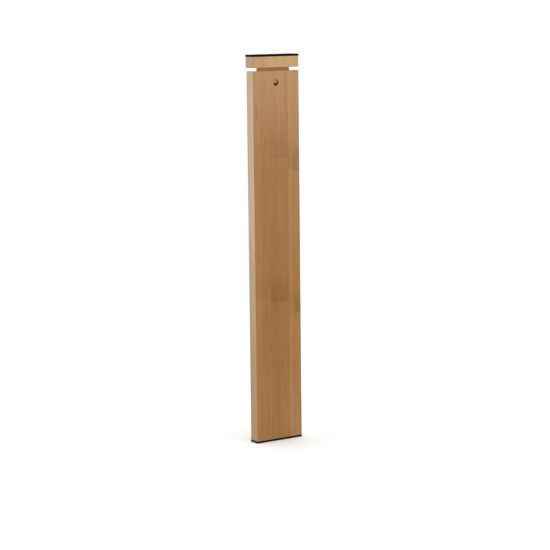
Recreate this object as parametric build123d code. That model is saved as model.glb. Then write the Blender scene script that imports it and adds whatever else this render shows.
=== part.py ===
from build123d import *
import os

# An extending magnetic knife rack in bamboo. A flat hollow sleeve carries magnets behind its front board, and
# a tongue with magnets of its own slides out of the sleeve's open end on a full-size head. A stop screw through
# the front board runs in the tongue's slot and ends its travel both ways. Black plastic plates cover both ends,
# and two steel keyhole plates on the back hang the rack on wall screws.
#
# Frame: the origin is the middle of the rack's lower end, +Z runs up its length towards the head, +X runs
# across its width and its front faces -Y. All sizes are in millimetres.

# Overall sizes
LENGTH = 430.0
OPEN_LENGTH = 558.8
WIDTH = 60.0
DEPTH = 15.0
TRAVEL = OPEN_LENGTH - LENGTH

# Lengths along Z
PLATE_THICK = 2.3
HEAD_WOOD = 12.0
FINGER_GAP = 3.5

# Layers of the sleeve, from the front
FRONT_BOARD = 3.2
CHANNEL_DEPTH = 6.2
BACK_BOARD = 4.1
RAIL_WIDTH = 10.0
CORE_CLEARANCE = 5.0

# Edge rounding, and the end plates' bevel
LONG_EDGE = 0.6
END_EDGE = 0.5
HANGER_EDGE = 0.3
PLATE_BEVEL = 0.2

# Tongue
SIDE_PLAY = 0.3
FACE_PLAY = 0.1
TONGUE_REST_DEPTH = 222.0
TONGUE_EDGE = 0.5
TAIL_EDGE = 1.5
MORTISE_DEPTH = 9.0
MORTISE_PLAY = 0.1
SLOT_WIDTH = 4.6
SLOT_END_PLAY = 0.3

# Stop screw
STOP_BELOW_MOUTH = 13.2
STOP_HEAD_R = 3.0
STOP_SHANK_R = 2.0
STOP_TIP_R = 1.6
STOP_SINK = 0.8
STOP_DOME = 0.7
STOP_RECESS_R = 2.2
STOP_POINT = 1.0
STOP_LENGTH = 12.2
HOLE_PLAY = 0.05

# Magnets: across X, through Y, along Z
MAGNET_WIDTH = 10.0
MAGNET_LENGTH = 20.0
MAGNET_CORNER = 1.0
POCKET_PLAY = 0.3
POCKET_CORNER = 1.5
MAGNET_SKIN = 1.1
SLEEVE_MAGNET = 2.0
SLEEVE_ROW_X = 14.0
SLEEVE_MAGNETS = 12
SLEEVE_PITCH = 32.0
SLEEVE_FIRST_Z = 25.0
SLIDER_MAGNET = 4.0
SLIDER_ROW_X = 12.0
SLIDER_MAGNETS = 5
SLIDER_PITCH = 24.0
SLIDER_FIRST_DROP = 16.0

# End plate screws
PLATE_SCREW_X = 25.0
PLATE_SCREW_HEAD_R = 2.75
PLATE_SCREW_R = 1.5
PLATE_SCREW_LENGTH = 10.0
SCREW_SINK = 0.1

# Keyhole hanger plates
HANGER_THICK = 1.5
HANGER_LENGTH = 42.0
HANGER_WIDTH = 17.0
HANGER_CORNER = 5.0
HANGER_HEIGHTS = (70.0, 340.0)
KEYHOLE_R = 4.75
KEYHOLE_X = 4.5
KEYHOLE_SLOT_R = 2.3
KEYHOLE_RUN = 9.5
RECESS_R = 5.4
RECESS_DEPTH = 3.3
HANGER_SCREW_X = 16.5
HANGER_SCREW_HEAD_R = 2.5
HANGER_SCREW_R = 1.25
HANGER_SCREW_LENGTH = 5.0

# Cross recess in a screw's head
CROSS_SPAN = 0.92
CROSS_ARM = 0.24
CROSS_DEPTH = 0.4
CROSS_TAPER = 12.0

# Places worked out from the sizes above
FRONT_Y = -DEPTH / 2
CHANNEL_FRONT_Y = FRONT_Y + FRONT_BOARD
CHANNEL_BACK_Y = CHANNEL_FRONT_Y + CHANNEL_DEPTH
SLEEVE_BACK_Y = CHANNEL_BACK_Y + BACK_BOARD
CHANNEL_MID_Y = (CHANNEL_FRONT_Y + CHANNEL_BACK_Y) / 2
CHANNEL_X = WIDTH / 2 - RAIL_WIDTH
HEAD_TOP = LENGTH - PLATE_THICK
HEAD_BOTTOM = HEAD_TOP - HEAD_WOOD
MOUTH_Z = HEAD_BOTTOM - FINGER_GAP
STOP_Z = MOUTH_Z - STOP_BELOW_MOUTH
TONGUE_X = CHANNEL_X - SIDE_PLAY
TONGUE_FRONT_Y = CHANNEL_FRONT_Y + FACE_PLAY
TONGUE_BACK_Y = CHANNEL_BACK_Y - FACE_PLAY
TONGUE_TAIL_Z = MOUTH_Z - TONGUE_REST_DEPTH

SIDES = (("left", -1), ("right", 1))


def block(x, y, z):
    """A box between two limits along each axis."""
    size = [high - low for low, high in (x, y, z)]
    middle = [(low + high) / 2 for low, high in (x, y, z)]
    return Pos(*middle) * Box(*size)


def across_y(radius, y, x, z):
    """A cylinder along Y between two limits."""
    return Pos(x, sum(y) / 2, z) * Rot(90, 0, 0) * Cylinder(radius, y[1] - y[0])


def rounded_bar(depth_y, z, soft_end):
    """The outside of a wooden bar of full width, with its long edges and one end's outline rounded."""
    bar = block((-WIDTH / 2, WIDTH / 2), depth_y, z)
    bar = fillet(bar.edges().filter_by(Axis.Z), LONG_EDGE)
    end_face = bar.faces().sort_by(Axis.Z)[soft_end]
    return fillet(end_face.edges(), END_EDGE)


def rounded_slab(x, z_centre, width, length, y, corner):
    """A flat slab facing Y with rounded corners, centred on x and z_centre."""
    outline = Plane.XZ * RectangleRounded(width, length, corner)
    return Pos(x, y[1], z_centre) * extrude(outline, amount=y[1] - y[0])


# ---- Screws -----------------------------------------------------------------------------------------------


def cross_recess(head_r, top):
    """The cross cut into the top of a screw's head, which points up Z."""
    arm = head_r * CROSS_ARM
    span = head_r * CROSS_SPAN
    cross = Rectangle(span, arm) + Rectangle(arm, span)
    return Pos(0, 0, top) * extrude(cross, amount=-head_r * CROSS_DEPTH, taper=CROSS_TAPER)


def flat_screw(head_r, shank_r, length):
    """A countersunk screw that points down Z with its head's face at the origin."""
    point = shank_r
    cone = head_r - shank_r
    outline = Polyline(
        (0, 0, 0), (head_r, 0, 0), (shank_r, 0, -cone), (shank_r, 0, point - length), (0, 0, -length), close=True
    )
    return revolve(make_face(outline), Axis.Z) - cross_recess(head_r, 0)


def flat_screw_hole(head_r, shank_r, length):
    """The hole for flat_screw, with the screw's head sunk a little below the surface at the origin."""
    outer = head_r + SCREW_SINK + HOLE_PLAY
    inner = shank_r + HOLE_PLAY
    outline = Polyline(
        (0, 0, 0), (outer, 0, 0), (inner, 0, inner - outer), (inner, 0, -length - SCREW_SINK),
        (0, 0, -length - SCREW_SINK), close=True,
    )
    return revolve(make_face(outline), Axis.Z)


def plate_screw_places():
    """Where the end plates' screws go in: the lower plate's, then the upper plate's."""
    lower = [Pos(side * PLATE_SCREW_X, CHANNEL_MID_Y, 0) * Rot(180, 0, 0) for _, side in SIDES]
    upper = [Pos(side * PLATE_SCREW_X, 0, LENGTH) for _, side in SIDES]
    return lower, upper


def hanger_screw_places():
    """Where the hanger plates' screws go in, from the back."""
    return [
        Pos(side * HANGER_SCREW_X, SLEEVE_BACK_Y + HANGER_THICK, z) * Rot(-90, 0, 0)
        for z in HANGER_HEIGHTS
        for _, side in SIDES
    ]


def screws(places, head_r, shank_r, length):
    """One group of identical countersunk screws, each sunk a little."""
    return Compound([place * Pos(0, 0, -SCREW_SINK) * flat_screw(head_r, shank_r, length) for place in places])


def plate_screw_holes(places):
    return [place * flat_screw_hole(PLATE_SCREW_HEAD_R, PLATE_SCREW_R, PLATE_SCREW_LENGTH) for place in places]


def hanger_screw_holes():
    hole = flat_screw_hole(HANGER_SCREW_HEAD_R, HANGER_SCREW_R, HANGER_SCREW_LENGTH)
    return [place * hole for place in hanger_screw_places()]


STOP_PLACE = Pos(0, FRONT_Y, STOP_Z) * Rot(90, 0, 0)


def stop_screw():
    """A raised countersunk screw: its thick shank crosses the channel and its tip holds in the back board."""
    cone = STOP_HEAD_R - STOP_SHANK_R
    shank_end = CHANNEL_BACK_Y - FRONT_Y
    rim = (STOP_HEAD_R, 0, -STOP_SINK)
    crown = (0, 0, STOP_DOME - STOP_SINK)
    shoulder = (STOP_HEAD_R / 2, 0, STOP_DOME * 0.75 - STOP_SINK)
    dome = ThreePointArc(crown, shoulder, rim)
    side = Polyline(
        rim,
        (STOP_SHANK_R, 0, -STOP_SINK - cone),
        (STOP_SHANK_R, 0, -shank_end),
        (STOP_TIP_R, 0, -shank_end),
        (STOP_TIP_R, 0, STOP_POINT - STOP_LENGTH),
        (0, 0, -STOP_LENGTH),
        crown,
    )
    screw = revolve(make_face(Curve() + [dome, side]), Axis.Z)
    return STOP_PLACE * (screw - cross_recess(STOP_RECESS_R, STOP_DOME - STOP_SINK))


def stop_screw_hole():
    """The stop screw's countersink and hole through the front board, and its pilot hole in the back board."""
    outer = STOP_HEAD_R + STOP_SINK + HOLE_PLAY
    inner = STOP_SHANK_R + HOLE_PLAY
    tip = STOP_TIP_R + HOLE_PLAY
    shank_end = CHANNEL_BACK_Y - FRONT_Y
    outline = Polyline(
        (0, 0, 0), (outer, 0, 0), (inner, 0, inner - outer), (inner, 0, -shank_end), (tip, 0, -shank_end),
        (tip, 0, -STOP_LENGTH - HOLE_PLAY), (0, 0, -STOP_LENGTH - HOLE_PLAY), close=True,
    )
    return STOP_PLACE * revolve(make_face(outline), Axis.Z)


# ---- Magnets ----------------------------------------------------------------------------------------------


def sleeve_magnet_places():
    """Name, x and z of each magnet behind the front board."""
    return [
        (f"sleeve_magnet_{name}_{row + 1:02d}", side * SLEEVE_ROW_X, SLEEVE_FIRST_Z + row * SLEEVE_PITCH)
        for name, side in SIDES
        for row in range(SLEEVE_MAGNETS)
    ]


def slider_magnet_places():
    """Name, x and z of each magnet in the tongue, in the stretch that comes out of the sleeve."""
    return [
        (f"slider_magnet_{name}_{row + 1}", side * SLIDER_ROW_X, MOUTH_Z - SLIDER_FIRST_DROP - row * SLIDER_PITCH)
        for name, side in SIDES
        for row in range(SLIDER_MAGNETS)
    ]


def magnets(places, y):
    """Bar magnets, one for each place, between two limits along Y."""
    return {name: rounded_slab(x, z, MAGNET_WIDTH, MAGNET_LENGTH, y, MAGNET_CORNER) for name, x, z in places}


def pockets(places, y):
    """The routed pockets that hold the magnets."""
    width, length = MAGNET_WIDTH + 2 * POCKET_PLAY, MAGNET_LENGTH + 2 * POCKET_PLAY
    return [rounded_slab(x, z, width, length, y, POCKET_CORNER) for _, x, z in places]


# ---- Sleeve -----------------------------------------------------------------------------------------------


def sleeve_layer(x, y):
    """One board or strip of the sleeve's sandwich, cut from the sleeve's rounded outside."""
    outside = rounded_bar((FRONT_Y, SLEEVE_BACK_Y), (PLATE_THICK, MOUTH_Z), -1)
    return outside & block(x, y, (PLATE_THICK, MOUTH_Z))


def front_board():
    board = sleeve_layer((-WIDTH / 2, WIDTH / 2), (FRONT_Y, CHANNEL_FRONT_Y))
    pocket_y = (FRONT_Y + MAGNET_SKIN, CHANNEL_FRONT_Y)
    return board - pockets(sleeve_magnet_places(), pocket_y) - stop_screw_hole()


def back_board():
    """The back board, with a recess behind each keyhole for the wall screw's head."""
    board = sleeve_layer((-WIDTH / 2, WIDTH / 2), (CHANNEL_BACK_Y, SLEEVE_BACK_Y))
    recess = extrude(Plane.XZ * SlotOverall(KEYHOLE_RUN + 2 * RECESS_R, 2 * RECESS_R), amount=RECESS_DEPTH)
    recess_x = KEYHOLE_X - KEYHOLE_RUN / 2
    recesses = [Pos(recess_x, SLEEVE_BACK_Y, z) * recess for z in HANGER_HEIGHTS]
    return board - recesses - hanger_screw_holes() - stop_screw_hole()


def rail(side):
    """One of the strips that space the boards apart and guide the tongue."""
    x = sorted((side * CHANNEL_X, side * WIDTH / 2))
    lower, _ = plate_screw_places()
    return sleeve_layer(x, (CHANNEL_FRONT_Y, CHANNEL_BACK_Y)) - plate_screw_holes(lower)


def core_strip():
    """The strip that fills the channel below the tongue."""
    z = (PLATE_THICK, TONGUE_TAIL_Z - CORE_CLEARANCE)
    return block((-CHANNEL_X, CHANNEL_X), (CHANNEL_FRONT_Y, CHANNEL_BACK_Y), z)


def end_plate(y, z, outer_face, holes):
    """A black end plate with square corners and a bevelled outer rim."""
    plate = block((-WIDTH / 2, WIDTH / 2), y, z)
    plate = chamfer(plate.faces().sort_by(Axis.Z)[outer_face].edges(), PLATE_BEVEL)
    return plate - holes


def hanger_plate(z):
    """A steel keyhole plate: the wall screw's head enters the round hole and its shank slides along the slot."""
    y = (SLEEVE_BACK_Y, SLEEVE_BACK_Y + HANGER_THICK)
    plate = rounded_slab(0, z, HANGER_LENGTH, HANGER_WIDTH, y, HANGER_CORNER)
    outer = plate.faces().sort_by(Axis.Y)[-1]
    plate = fillet(outer.edges(), HANGER_EDGE)
    entry = across_y(KEYHOLE_R, y, KEYHOLE_X, z)
    end = across_y(KEYHOLE_SLOT_R, y, KEYHOLE_X - KEYHOLE_RUN, z)
    slot = block((KEYHOLE_X - KEYHOLE_RUN, KEYHOLE_X), y, (z - KEYHOLE_SLOT_R, z + KEYHOLE_SLOT_R))
    return plate - entry - end - slot - hanger_screw_holes()


# ---- Slider -----------------------------------------------------------------------------------------------


def tongue():
    """The flat tongue, with the stop screw's slot and pockets for its magnets cut from behind."""
    bar = block((-TONGUE_X, TONGUE_X), (TONGUE_FRONT_Y, TONGUE_BACK_Y), (TONGUE_TAIL_Z, HEAD_BOTTOM + MORTISE_DEPTH))
    bar = chamfer(bar.faces().sort_by(Axis.Z)[0].edges().filter_by(Axis.Y), TAIL_EDGE)
    bar = fillet(bar.edges().filter_by(Axis.Z), TONGUE_EDGE)
    slot_top = STOP_Z + STOP_SHANK_R + SLOT_END_PLAY
    slot_bottom = STOP_Z - TRAVEL - STOP_SHANK_R - SLOT_END_PLAY
    slot_outline = Plane.XZ * SlotOverall(slot_top - slot_bottom, SLOT_WIDTH, rotation=90)
    slot = Pos(0, CHANNEL_BACK_Y, (slot_top + slot_bottom) / 2) * extrude(slot_outline, amount=CHANNEL_DEPTH)
    pocket_y = (TONGUE_FRONT_Y + MAGNET_SKIN, TONGUE_BACK_Y)
    return bar - slot - pockets(slider_magnet_places(), pocket_y)


def head_block():
    """The full-size head, with a mortise under it for the tongue."""
    head = rounded_bar((FRONT_Y, DEPTH / 2), (HEAD_BOTTOM, HEAD_TOP), 0)
    mortise = block(
        (-TONGUE_X - MORTISE_PLAY, TONGUE_X + MORTISE_PLAY),
        (TONGUE_FRONT_Y - MORTISE_PLAY, TONGUE_BACK_Y + MORTISE_PLAY),
        (HEAD_BOTTOM, HEAD_BOTTOM + MORTISE_DEPTH),
    )
    _, upper = plate_screw_places()
    return head - mortise - plate_screw_holes(upper)


def all_nodes():
    """Every sub-part, by its node's name."""
    lower, upper = plate_screw_places()
    plate_screw = (PLATE_SCREW_HEAD_R, PLATE_SCREW_R, PLATE_SCREW_LENGTH)
    hanger_screw = (HANGER_SCREW_HEAD_R, HANGER_SCREW_R, HANGER_SCREW_LENGTH)
    sleeve_y, head_y = (FRONT_Y, SLEEVE_BACK_Y), (FRONT_Y, DEPTH / 2)
    nodes = {
        "front_board": front_board(),
        "back_board": back_board(),
        "core_strip": core_strip(),
        "lower_end_plate": end_plate(sleeve_y, (0, PLATE_THICK), 0, plate_screw_holes(lower)),
        "lower_end_plate_screws": screws(lower, *plate_screw),
        "stop_screw": stop_screw(),
        "hanger_screws": screws(hanger_screw_places(), *hanger_screw),
        "tongue": tongue(),
        "head_block": head_block(),
        "upper_end_plate": end_plate(head_y, (HEAD_TOP, LENGTH), -1, plate_screw_holes(upper)),
        "upper_end_plate_screws": screws(upper, *plate_screw),
    }
    for name, side in SIDES:
        nodes[f"{name}_rail"] = rail(side)
    for name, z in zip(("lower", "upper"), HANGER_HEIGHTS):
        nodes[f"{name}_hanger_plate"] = hanger_plate(z)
    sleeve_skin = FRONT_Y + MAGNET_SKIN
    nodes.update(magnets(sleeve_magnet_places(), (sleeve_skin, sleeve_skin + SLEEVE_MAGNET)))
    slider_skin = TONGUE_FRONT_Y + MAGNET_SKIN
    nodes.update(magnets(slider_magnet_places(), (slider_skin, slider_skin + SLIDER_MAGNET)))
    return nodes


def main():
    os.makedirs("parts", exist_ok=True)
    for name, shape in all_nodes().items():
        export_step(shape, f"parts/{name}.step")


main()
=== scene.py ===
import math

import bpy
from mathutils import Matrix, Vector


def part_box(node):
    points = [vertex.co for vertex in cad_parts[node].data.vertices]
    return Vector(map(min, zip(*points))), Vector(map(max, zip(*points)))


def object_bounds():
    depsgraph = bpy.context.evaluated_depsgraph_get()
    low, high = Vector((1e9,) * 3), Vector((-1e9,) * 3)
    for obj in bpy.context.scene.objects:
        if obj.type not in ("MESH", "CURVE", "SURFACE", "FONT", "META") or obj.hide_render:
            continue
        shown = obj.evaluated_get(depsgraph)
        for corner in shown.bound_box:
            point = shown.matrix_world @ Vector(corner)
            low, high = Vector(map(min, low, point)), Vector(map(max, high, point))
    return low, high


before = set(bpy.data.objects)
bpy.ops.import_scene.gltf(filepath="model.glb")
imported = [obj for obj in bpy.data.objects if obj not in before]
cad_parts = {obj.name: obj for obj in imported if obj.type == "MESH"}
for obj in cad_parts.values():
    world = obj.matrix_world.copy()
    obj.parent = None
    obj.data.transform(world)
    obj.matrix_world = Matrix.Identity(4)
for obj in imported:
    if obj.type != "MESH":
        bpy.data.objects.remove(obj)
cad_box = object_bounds()

MM = 0.001

# ---- Short ways to build node trees -----------------------------------------------------------------------


class Nodes:
    """A node tree and short ways to add and join its nodes."""

    def __init__(self, tree):
        self.tree = tree

    def add(self, kind, **settings):
        node = self.tree.nodes.new(kind)
        for name, value in settings.items():
            setattr(node, name, value)
        return node

    def feed(self, socket, value):
        """Joins an output to a socket, or sets the socket to a number or colour."""
        if isinstance(value, bpy.types.NodeSocket):
            self.tree.links.new(value, socket)
        else:
            socket.default_value = value

    def math(self, operation, *values, clamp=False):
        node = self.add("ShaderNodeMath", operation=operation, use_clamp=clamp)
        for socket, value in zip(node.inputs, values):
            self.feed(socket, value)
        return node.outputs[0]

    def spread(self, value, width):
        """A value from 0 to 1 spread over a width that is centred on 0."""
        return self.math("MULTIPLY_ADD", value, width, -width / 2)

    def parts(self, vector):
        """The x, y and z of a vector."""
        node = self.add("ShaderNodeSeparateXYZ")
        self.feed(node.inputs[0], vector)
        return node.outputs

    def joined(self, x, y, z):
        node = self.add("ShaderNodeCombineXYZ")
        for socket, value in zip(node.inputs, (x, y, z)):
            self.feed(socket, value)
        return node.outputs[0]

    def stretched(self, vector, scale):
        """A vector with each of its axes scaled."""
        node = self.add("ShaderNodeMapping")
        self.feed(node.inputs["Vector"], vector)
        node.inputs["Scale"].default_value = scale
        return node.outputs[0]

    def noise(self, vector, scale=1.0, detail=2.0, roughness=0.5, distortion=0.0):
        node = self.add("ShaderNodeTexNoise")
        self.feed(node.inputs["Vector"], vector)
        node.inputs["Scale"].default_value = scale
        node.inputs["Detail"].default_value = detail
        node.inputs["Roughness"].default_value = roughness
        node.inputs["Distortion"].default_value = distortion
        return node.outputs[0]

    def cells(self, vector):
        """The distance to the nearest of many scattered points, about one in each unit of the vector."""
        node = self.add("ShaderNodeTexVoronoi")
        self.feed(node.inputs["Vector"], vector)
        node.inputs["Scale"].default_value = 1.0
        return node.outputs["Distance"]

    def ease(self, value, low, high, start=0.0, end=1.0):
        """Start where the value is under low, end where it is over high, and smooth between."""
        node = self.add("ShaderNodeMapRange", interpolation_type="SMOOTHSTEP")
        for socket, number in zip(node.inputs, (value, low, high, start, end)):
            self.feed(socket, number)
        return node.outputs[0]

    def steps(self, value, edges, levels):
        """The first level below the first edge, the second level between the next two, and so on."""
        total = levels[0]
        for edge, level in zip(edges, levels[1:]):
            past = self.math("GREATER_THAN", value, edge)
            total = self.math("MULTIPLY_ADD", past, self.math("SUBTRACT", level, total), total)
        return total

    def blend(self, factor, first, second):
        """Two colours mixed by a factor."""
        node = self.add("ShaderNodeMix", data_type="RGBA")
        self.feed(node.inputs["Factor"], factor)
        for socket, color in ((node.inputs["A"], first), (node.inputs["B"], second)):
            self.feed(socket, (*color, 1) if isinstance(color, tuple) else color)
        return node.outputs["Result"]

    def ramp(self, value, *stops):
        """A colour read from stops of (place, colour)."""
        node = self.add("ShaderNodeValToRGB")
        elements = node.color_ramp.elements
        while len(elements) < len(stops):
            elements.new(0.5)
        for element, (place, color) in zip(elements, stops):
            element.position = place
            element.color = (*color, 1)
        self.feed(node.inputs[0], value)
        return node.outputs[0]


class Shader(Nodes):
    """One material's nodes. Its other sockets are named in lower case, such as coat_weight=0.5."""

    def __init__(self, name, color, roughness, **sockets):
        self.material = bpy.data.materials.new(name)
        self.material.use_nodes = True
        super().__init__(self.material.node_tree)
        self.surface = self.tree.nodes["Principled BSDF"]
        self.dress((*color, 1), roughness)
        for socket, value in sockets.items():
            self.surface.inputs[socket.replace("_", " ").title().replace("Ior", "IOR")].default_value = value
        coordinates = self.add("ShaderNodeTexCoord")
        self.place = coordinates.outputs["Object"]
        self.facing = coordinates.outputs["Normal"]

    def dress(self, color, roughness):
        """Gives the surface its colour and roughness."""
        self.feed(self.surface.inputs["Base Color"], color)
        self.feed(self.surface.inputs["Roughness"], roughness)

    def bump(self, *layers):
        """Bumps laid over each other, each a height from 0 to 1 and its depth in metres."""
        normal = None
        for height, depth in layers:
            node = self.add("ShaderNodeBump")
            node.inputs["Distance"].default_value = depth
            self.feed(node.inputs["Height"], height)
            if normal is not None:
                self.feed(node.inputs["Normal"], normal)
            normal = node.outputs[0]
        self.feed(self.surface.inputs["Normal"], normal)

    def edges(self):
        """1 on rounded edges and 0 on flat faces."""
        node = self.add("ShaderNodeVectorMath", operation="ABSOLUTE")
        self.feed(node.inputs[0], self.facing)
        x, y, z = self.parts(node.outputs[0])
        return self.ease(self.math("MAXIMUM", self.math("MAXIMUM", x, y), z), 0.72, 0.98, 1.0, 0.0)


# ---- Bamboo -----------------------------------------------------------------------------------------------

BAMBOO_DARK = (0.190, 0.071, 0.016)
BAMBOO_MID = (0.312, 0.131, 0.032)
BAMBOO_LIGHT = (0.440, 0.250, 0.088)
BAMBOO_NODE = (0.200, 0.090, 0.008)
BAMBOO_EDGE = (0.348, 0.203, 0.073)

# How finely each marking varies: per metre across the board, through it and along it
STREAK_GRAIN = (1500, 1500, 14)
BAND_GRAIN = (170, 170, 2.2)
PATCH_GRAIN = (28, 28, 9)
BUNDLE_GRAIN = (1050, 1050, 34)
CROWD_GRAIN = (260, 260, 5)
VEIN_GRAIN = (620, 620, 26)
SWAY_GRAIN = (70, 70, 0)
FRINGE_GRAIN = (240, 240, 12)
FLECK_GRAIN = (420, 420, 130)

# How far each marking moves the tone, which runs from 0, dark, to 1, light
STREAK_TONE = 0.26
BAND_TONE = 0.34
PATCH_TONE = 0.26
DASH_TONE = 0.20
VEIN_TONE = 0.30

# Painted light: the bamboo is a little lighter towards both ends of the rack, near the foot to cancel the
# shade by the floor and at the top for the brighter light there
FOOT_PAINTED_LIGHT = 0.11
FOOT_END = 110 * MM
TOP_PAINTED_LIGHT = 0.10
TOP_SPAN = (310 * MM, 400 * MM)

# A node's own heights, measured up from the height where it is placed
NODE_SPACING = 160 * MM
NODE_SWAY = 7 * MM
NODE_START = (-6 * MM, -4 * MM)
NODE_FADE = (6 * MM, 30 * MM)
NODE_FRINGE = 20 * MM
SCAR_START = (-5.4 * MM, -4.6 * MM)
SCAR_END = (-4.4 * MM, -3.0 * MM)

STRIP_WANDER = 1.2 * MM
SEAM_EDGE = (0.05 * MM, 0.30 * MM)
SEAM_DARKNESS = 0.30
FIBRE_RELIEF = 0.05 * MM
SEAM_RELIEF = 0.04 * MM
NODE_RELIEF = 0.05 * MM


def fibres(s, grain):
    """Fibres that run up the strips: streaks, and short dark dashes where their bundles crowd together."""
    streaks = s.noise(s.stretched(grain, STREAK_GRAIN), detail=3.0, roughness=0.6)
    bundles = s.cells(s.stretched(grain, BUNDLE_GRAIN))
    crowding = s.noise(s.stretched(grain, CROWD_GRAIN), detail=1.0)
    dashes = s.math("MULTIPLY", s.ease(bundles, 0.10, 0.30, 1.0, 0.0), s.ease(crowding, 0.42, 0.62))
    return streaks, dashes


def marked_tone(s, z, grain, tone, streaks, dashes):
    """The strips' tone with all that the markings add to it, and the painted light that the height on the
    rack adds.
    """
    bands = s.noise(s.stretched(grain, BAND_GRAIN))
    patches = s.noise(s.stretched(grain, PATCH_GRAIN))
    veins = s.ease(s.noise(s.stretched(grain, VEIN_GRAIN), detail=1.0), 0.67, 0.74)
    changes = (
        s.spread(streaks, STREAK_TONE),
        s.spread(bands, BAND_TONE),
        s.spread(patches, PATCH_TONE),
        # painted light towards the foot and towards the top of the rack
        s.ease(z, 0.0, FOOT_END, FOOT_PAINTED_LIGHT, 0.0),
        s.ease(z, *TOP_SPAN, 0.0, TOP_PAINTED_LIGHT),
        s.math("MULTIPLY", dashes, -DASH_TONE),
        s.math("MULTIPLY", veins, -VEIN_TONE),
    )
    for change in changes:
        tone = s.math("ADD", tone, change)
    return tone


def bamboo_nodes(s, x, z, grain, joints, lowest, marks):
    """How strongly a bamboo node shows, from 0 to 1.

    A node is a slightly darker band with a firm lower edge, a fading upper one and fibres turned aside in it.
    """
    sway = s.spread(s.noise(s.stretched(grain, SWAY_GRAIN)), NODE_SWAY)
    above_lowest = s.math("SUBTRACT", s.math("ADD", z, sway), s.steps(x, joints, lowest))
    count = s.math("MULTIPLY_ADD", above_lowest, 1 / NODE_SPACING, 0.5)
    tiers = [s.steps(x, joints, tier) for tier in zip(*marks)]
    strength = s.steps(count, range(1, len(tiers)), tiers)
    height = s.spread(s.math("FRACT", count), NODE_SPACING)
    fading = s.math("ADD", height, s.spread(s.noise(s.stretched(grain, FRINGE_GRAIN)), NODE_FRINGE))
    band = s.math("MULTIPLY", s.ease(height, *NODE_START), s.ease(fading, *NODE_FADE, 1.0, 0.0))
    scar = s.math("MULTIPLY", s.ease(height, *SCAR_START), s.ease(height, *SCAR_END, 1.0, 0.0))
    flecks = s.noise(s.stretched(grain, FLECK_GRAIN), detail=3.0, roughness=0.65, distortion=1.5)
    knot = s.math("MULTIPLY", band, s.ease(flecks, 0.30, 0.75, 0.35, 0.80))
    knot = s.math("MULTIPLY_ADD", scar, s.math("MULTIPLY", flecks, 0.5), knot)
    return s.math("MULTIPLY", knot, strength, clamp=True)


def glue_lines(s, x, joints):
    """1 on the thin lines where the strips are glued together, and 0 elsewhere."""
    seam = 0.0
    for joint in joints:
        gap = s.math("ABSOLUTE", s.math("SUBTRACT", x, joint))
        seam = s.math("MAXIMUM", s.ease(gap, *SEAM_EDGE, 1.0, 0.0), seam)
    return seam


def bamboo(name, joints, strips, coat=0.9, edge_lift=0.25):
    """Lacquered bamboo made of strips glued side by side.

    joints are where the strips meet along x, in metres. strips gives each strip's tone, the height of its
    lowest node in metres, and how strongly each of its nodes shows, from the lowest up. edge_lift is what the
    narrow sides add to the tone.
    """
    s = Shader(name, BAMBOO_MID, 0.4, specular_ior_level=0.25, coat_weight=coat, coat_roughness=0.16)
    x, y, z = s.parts(s.place)
    x = s.math("ADD", x, s.spread(s.noise(s.joined(0.0, 0.0, z), 9.0), STRIP_WANDER))
    grain = s.joined(x, y, z)
    tones, lowest, marks = zip(*strips)
    streaks, dashes = fibres(s, grain)
    tone = marked_tone(s, z, grain, s.steps(x, joints, tones), streaks, dashes)
    color = s.ramp(tone, (0.0, BAMBOO_DARK), (0.5, BAMBOO_MID), (1.0, BAMBOO_LIGHT))

    # The narrow sides of the boards show edge grain, in a shade of its own
    sideways = s.math("ABSOLUTE", s.parts(s.facing)[0])
    edge_grain = s.blend(s.math("ADD", tone, edge_lift, clamp=True), BAMBOO_DARK, BAMBOO_EDGE)
    color = s.blend(s.ease(sideways, 0.60, 0.95), color, edge_grain)

    knot = bamboo_nodes(s, x, z, grain, joints, lowest, marks)
    color = s.blend(knot, color, BAMBOO_NODE)
    seam = glue_lines(s, x, joints)
    color = s.blend(s.math("MULTIPLY", seam, SEAM_DARKNESS), color, BAMBOO_DARK)

    # Thin lacquer and handling lighten the edges, and touch leaves the gloss uneven
    worn = s.math("MULTIPLY", s.edges(), s.ease(s.noise(s.place, 90.0, 3.0), 0.35, 0.65, 0.0, 0.20))
    color = s.blend(worn, color, BAMBOO_LIGHT)
    smudges = s.noise(s.place, 38.0, 3.0, 0.6)
    roughness = s.math("MULTIPLY_ADD", smudges, 0.14, 0.36)
    roughness = s.math("MULTIPLY_ADD", streaks, 0.10, roughness)
    s.dress(color, s.math("MULTIPLY_ADD", worn, 0.15, roughness))
    relief = s.math("SUBTRACT", streaks, s.math("MULTIPLY", dashes, 0.6))
    between_seams = s.math("SUBTRACT", 1.0, seam)
    s.bump((relief, FIBRE_RELIEF), (between_seams, SEAM_RELIEF), (knot, NODE_RELIEF))
    return s.material


# ---- Plastic and metals -----------------------------------------------------------------------------------

PLASTIC_BLACK = (0.006, 0.006, 0.006)
PLASTIC_WORN = (0.035, 0.033, 0.031)
DUST = (0.16, 0.15, 0.135)
SPECKS_ON_TOP = 0.32
SPECKS_ANYWHERE = 0.02
FILM_ON_TOP = 0.08
PLASTIC_RELIEF = 0.02 * MM


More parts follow.
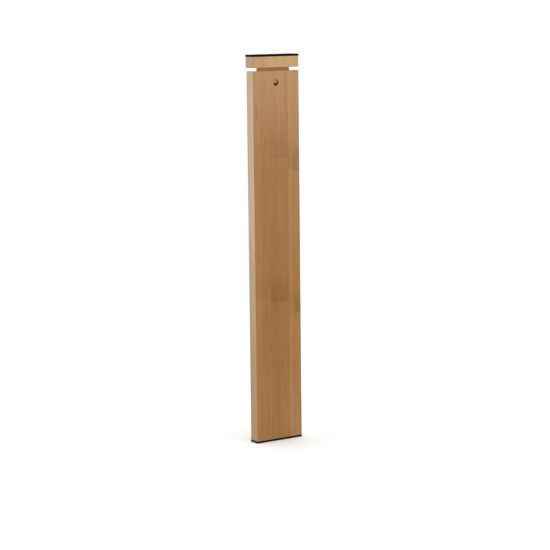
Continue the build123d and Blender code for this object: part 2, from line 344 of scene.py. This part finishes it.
def matte_black(name):
    """Matte black plastic: a fine moulded grain, greyed on its edges, with dust that lies mostly on top."""
    s = Shader(name, PLASTIC_BLACK, 0.75, specular_ior_level=0.02)
    worn = s.math("MULTIPLY", s.edges(), s.ease(s.noise(s.place, 300.0, 3.0), 0.45, 0.62))
    specks = s.ease(s.noise(s.place, 2600.0, 4.0, 0.7), 0.60, 0.74)
    film = s.ease(s.noise(s.place, 130.0, 4.0, 0.6), 0.35, 0.75)
    upward = s.ease(s.parts(s.facing)[2], 0.60, 0.90)
    dust = s.math("MULTIPLY", specks, SPECKS_ANYWHERE)
    dust = s.math("MULTIPLY_ADD", s.math("MULTIPLY", specks, SPECKS_ON_TOP), upward, dust)
    dust = s.math("MULTIPLY_ADD", s.math("MULTIPLY", film, FILM_ON_TOP), upward, dust)
    color = s.blend(s.math("MULTIPLY", worn, 0.5), PLASTIC_BLACK, PLASTIC_WORN)
    s.dress(s.blend(dust, color, DUST), s.math("MULTIPLY_ADD", s.noise(s.place, 60.0, 3.0), 0.16, 0.66))
    s.bump((s.noise(s.place, 1900.0), PLASTIC_RELIEF))
    return s.material


SCRATCH_GRAIN = (9000, 900, 900)
SCRATCH_RELIEF = 0.004 * MM


def metal(name, dark, light, roughness, tarnish, scratch):
    """Plated or oxidised metal: cloudy tone, fine scratches and bright rubbed edges."""
    s = Shader(name, light, roughness, metallic=1.0)
    clouds = s.noise(s.place, 420.0, 4.0, 0.6)
    lines = s.noise(s.stretched(s.place, SCRATCH_GRAIN))
    color = s.blend(s.math("MULTIPLY", s.ease(clouds, 0.35, 0.68), tarnish), light, dark)
    color = s.blend(s.math("MULTIPLY", s.edges(), 0.6), color, light)
    cloudy = s.math("MULTIPLY_ADD", clouds, 0.16, roughness - 0.08)
    s.dress(color, s.math("MULTIPLY_ADD", lines, scratch, cloudy))
    s.bump((lines, SCRATCH_RELIEF))
    return s.material


# A painted highlight on the screw's head; the dark patina around it is the bronze's own colour and also
# stands in for shade
BRONZE_PAINTED_HIGHLIGHT = (0.47, 0.27, 0.13)
BRONZE_PATINA_AND_SHADE = (0.20, 0.075, 0.012)
HIGHLIGHT_SHIFT = 0.9 * MM
HIGHLIGHT_EDGE = (1.4 * MM, 2.4 * MM)
HIGHLIGHT_RAGGED = 0.8 * MM
BRONZE_RELIEF = 0.01 * MM


def antique_bronze(name, node):
    """Antique bronze on a screw's head: a dark brown patina that also stands in for shade, with a painted
    highlight towards its upper left.
    """
    low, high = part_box(node)
    s = Shader(name, BRONZE_PATINA_AND_SHADE, 0.34, metallic=1.0)
    x, _, z = s.parts(s.place)
    across = s.math("SUBTRACT", x, (low[0] + high[0]) / 2 - HIGHLIGHT_SHIFT)
    along = s.math("SUBTRACT", z, (low[2] + high[2]) / 2 + HIGHLIGHT_SHIFT)
    reach = s.math("SQRT", s.math("ADD", s.math("POWER", across, 2.0), s.math("POWER", along, 2.0)))
    clouds = s.noise(s.place, 900.0, 4.0, 0.6)
    # A bright painted highlight above and left of the head's middle, with dark patina and painted shade
    # beyond it
    beyond_highlight = s.ease(s.math("MULTIPLY_ADD", clouds, HIGHLIGHT_RAGGED, reach), *HIGHLIGHT_EDGE)
    color = s.blend(beyond_highlight, BRONZE_PAINTED_HIGHLIGHT, BRONZE_PATINA_AND_SHADE)
    s.dress(color, s.math("MULTIPLY_ADD", clouds, 0.20, 0.30))
    s.bump((clouds, BRONZE_RELIEF))
    return s.material


# ---- Which node has which material ------------------------------------------------------------------------


def paint(material, *nodes):
    """Gives CAD nodes a material in every slot."""
    for node in nodes:
        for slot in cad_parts[node].material_slots:
            slot.material = material


def paint_wood():
    front = bamboo("front_bamboo", (-9.5 * MM, 14.4 * MM, 21.5 * MM), (
        (0.54, 8 * MM, (0.2, 0.35, 0.1)),
        (0.48, 3 * MM, (0.2, 0.8, 0.40)),
        (0.61, -9 * MM, (0.0, 0.3, 0.6)),
        (0.58, -13 * MM, (0.0, 1.0, 0.8)),
    ))
    back = bamboo("back_bamboo", (-18 * MM, 5 * MM, 27 * MM), (
        (0.46, 60 * MM, (0.7, 0.9, 0.5)),
        (0.55, -39 * MM, (0.0, 0.9, 0.6)),
        (0.42, 22 * MM, (0.8, 0.5, 0.9)),
        (0.55, 80 * MM, (0.5, 0.8, 0.4)),
    ))
    rail = bamboo("rail_bamboo", (), ((0.52, 96 * MM, (0.3, 0.2, 0.3)),))
    head = bamboo("head_bamboo", (-11 * MM, 12 * MM), (
        (0.80, 360 * MM, (0.5,)),
        (0.89, 340 * MM, (0.5,)),
        (0.98, 350 * MM, (0.5,)),
    ), coat=0.75, edge_lift=-0.40)
    tongue = bamboo("tongue_bamboo", (-5 * MM, 16 * MM), (
        (0.54, 200 * MM, (0.6, 0.8)),
        (0.50, 170 * MM, (0.7, 0.9)),
        (0.58, 140 * MM, (0.5, 0.6)),
    ), coat=0.35)
    paint(front, "front_board")
    paint(back, "back_board", "core_strip")
    paint(rail, "left_rail", "right_rail")
    paint(head, "head_block")
    paint(tongue, "tongue")


def paint_fittings():
    plastic = matte_black("matte_black")
    black_oxide = metal(
        "black_oxide", dark=(0.02, 0.02, 0.022), light=(0.06, 0.06, 0.062),
        roughness=0.38, tarnish=0.8, scratch=0.10,
    )
    bronze = antique_bronze("antique_bronze", "stop_screw")
    zinc = metal(
        "zinc_plate", dark=(0.34, 0.35, 0.37), light=(0.62, 0.63, 0.64),
        roughness=0.34, tarnish=0.7, scratch=0.15,
    )
    nickel = metal(
        "nickel_plate", dark=(0.27, 0.255, 0.235), light=(0.42, 0.395, 0.365),
        roughness=0.30, tarnish=0.8, scratch=0.10,
    )
    paint(plastic, "lower_end_plate", "upper_end_plate")
    paint(black_oxide, "lower_end_plate_screws", "upper_end_plate_screws")
    paint(bronze, "stop_screw")
    paint(zinc, "lower_hanger_plate", "upper_hanger_plate", "hanger_screws")
    paint(nickel, *[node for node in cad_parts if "_magnet_" in node])


# ---- Floor, light and camera ------------------------------------------------------------------------------

FLOOR_RADIUS = 80.0
FLOOR_SIDES = 96
FLOOR_COLOR = (0.97, 0.97, 0.97)


def floor():
    """A wide pale floor under the rack. Glossy surfaces reflect the world below it, not the floor."""
    bpy.ops.mesh.primitive_circle_add(vertices=FLOOR_SIDES, radius=FLOOR_RADIUS, fill_type="NGON")
    disc = bpy.context.object
    disc.name = "floor"
    disc.data.materials.append(Shader("floor_paper", FLOOR_COLOR, 0.9, specular_ior_level=0.1).material)
    disc.visible_glossy = False


SIDE_LIGHT = {"place": (-0.9, 1.33, 0.49), "size": 1.0, "power": 3.8, "color": (1.0, 1.0, 0.97)}
FRONT_LIGHT = {"place": (1.2, -1.75, 0.835), "size": 1.2, "power": 5.6, "color": (1.0, 0.965, 0.74)}


def softbox(name, place, size, power, color):
    """A large square light that faces the middle of the rack and isn't seen itself."""
    data = bpy.data.lights.new(name, "AREA")
    data.color = color
    data.size = size
    data.energy = power
    lamp = bpy.data.objects.new(name, data)
    bpy.context.scene.collection.objects.link(lamp)
    aim = Vector((0, 0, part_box("front_board")[1].z / 2)) - Vector(place)
    lamp.location = place
    lamp.rotation_euler = aim.to_track_quat("-Z", "Y").to_euler()
    lamp.visible_camera = False


# The world's brightness, and the spans of its direction's y and z over which one level turns into the next
SKY = 1.10
FRONT_GROUND = 0.10
BACK_GROUND = (0.70, 1.80)
BACK_GROUND_Z = (-0.24, -0.15)
FRONT_TO_BACK_Y = (0.35, 0.75)
HORIZON_Z = (-0.14, -0.01)


def studio():
    """White light from all round, weaker from below in front, and two softboxes."""
    world = bpy.data.worlds.new("studio")
    world.use_nodes = True
    s = Nodes(world.node_tree)
    background = s.tree.nodes["Background"]
    _, y, z = s.parts(s.add("ShaderNodeTexCoord").outputs["Generated"])
    behind = s.ease(z, *BACK_GROUND_Z, *BACK_GROUND)
    ground = s.ease(y, *FRONT_TO_BACK_Y, FRONT_GROUND, behind)
    s.feed(background.inputs["Color"], (1, 1, 1, 1))
    s.feed(background.inputs["Strength"], s.ease(z, *HORIZON_Z, ground, SKY))
    bpy.context.scene.world = world
    bpy.context.scene.view_settings.view_transform = "Standard"
    softbox("side_light", **SIDE_LIGHT)
    softbox("front_light", **FRONT_LIGHT)


# The view's direction and roll, the camera's distance from the rack's middle, how far it stands to the right
# of and above the line through that middle (both in metres), and its focal length in millimetres
AZIMUTH = math.radians(-33.84)
ELEVATION = math.radians(8.43)
ROLL = math.radians(-0.64)
DISTANCE = 2.048
ASIDE = (0.6 * MM, -28.4 * MM)
LENS = 120.96


def camera():
    """The view: from the front left and a little above, turned by a slight roll."""
    back = Vector((
        math.sin(AZIMUTH) * math.cos(ELEVATION),
        -math.cos(AZIMUTH) * math.cos(ELEVATION),
        math.sin(ELEVATION),
    ))
    level = (-back).cross(Vector((0, 0, 1))).normalized()
    upright = level.cross(-back)
    right = math.cos(ROLL) * level + math.sin(ROLL) * upright
    up = math.cos(ROLL) * upright - math.sin(ROLL) * level
    middle = Vector((0, 0, cad_box[1][2] / 2))
    place = middle + back * DISTANCE + level * ASIDE[0] + upright * ASIDE[1]
    data = bpy.data.cameras.new("camera")
    data.lens = LENS
    data.clip_end = 4 * FLOOR_RADIUS
    eye = bpy.data.objects.new("camera", data)
    turn = Matrix((right, up, back)).transposed().to_4x4()
    eye.matrix_world = Matrix.Translation(place) @ turn
    bpy.context.scene.collection.objects.link(eye)
    bpy.context.scene.camera = eye


paint_wood()
paint_fittings()
floor()
studio()
camera()
